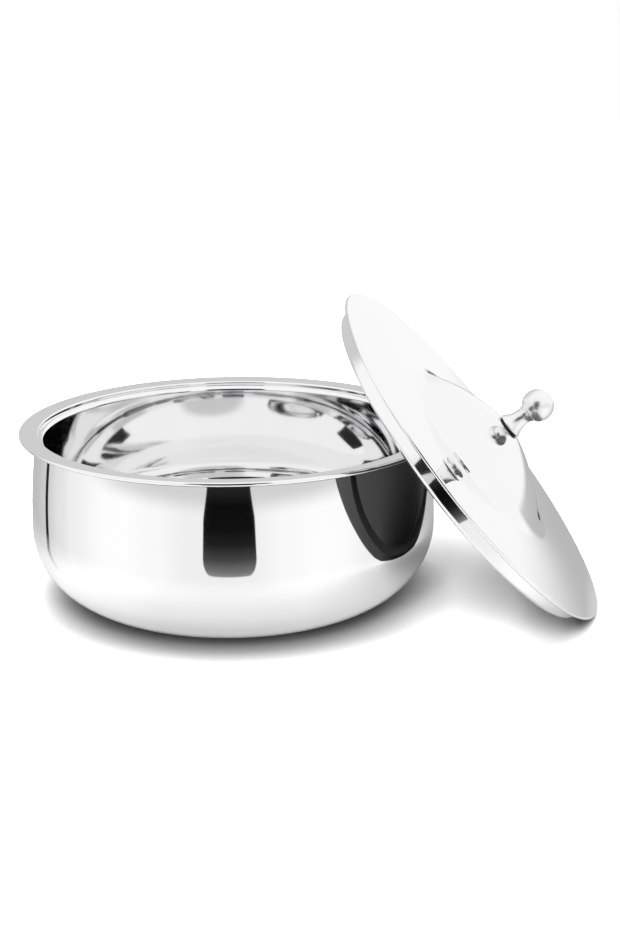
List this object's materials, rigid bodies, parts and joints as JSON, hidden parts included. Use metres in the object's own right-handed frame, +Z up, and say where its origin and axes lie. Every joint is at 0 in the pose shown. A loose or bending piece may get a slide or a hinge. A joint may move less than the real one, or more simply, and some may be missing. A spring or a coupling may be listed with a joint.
{
  "type": "insulated casserole with a loose lid",
  "caption": "Round double-walled polished steel casserole with a flat rolled rim and a loose bell-shaped lid with a ball knob, which leans on the pot's side.",
  "frame": {"origin": "centre of the pot's foot ring, on the table", "axes": "+Z up; +X towards the side on which the lid leans; +Y away from the viewer of the picture"},
  "size_m": [0.3278, 0.2492, 0.1741],
  "materials": {
    "outer_steel": "polished",
    "inner_steel": "polished",
    "lid_steel": "polished",
    "knob_steel": "polished",
    "fastener_steel": "satin",
    "foam": "matte",
    "seal_rubber": "matte",
    "plug_plastic": "satin"
  },
  "bodies": {
    "pot": {"outer_shell": "outer_steel", "inner_bowl": "inner_steel", "bowl_insulation": "foam", "base_plug": "plug_plastic"},
    "lid": {"lid_shell": "lid_steel", "lid_pan": "inner_steel", "lid_insulation": "foam", "lid_plug": "plug_plastic", "knob_seal": "seal_rubber", "knob_neck": "knob_steel", "knob_ball": "knob_steel", "knob_stud": "fastener_steel", "knob_washer": "fastener_steel", "knob_nut": "fastener_steel"}
  },
  "joints": [
    {"name": "lid_lift", "type": "slide", "parent": "pot", "child": "lid", "axis": [0.7674, -0.0997, 0.6334], "range_m": [0, 0.12]}
  ]
}
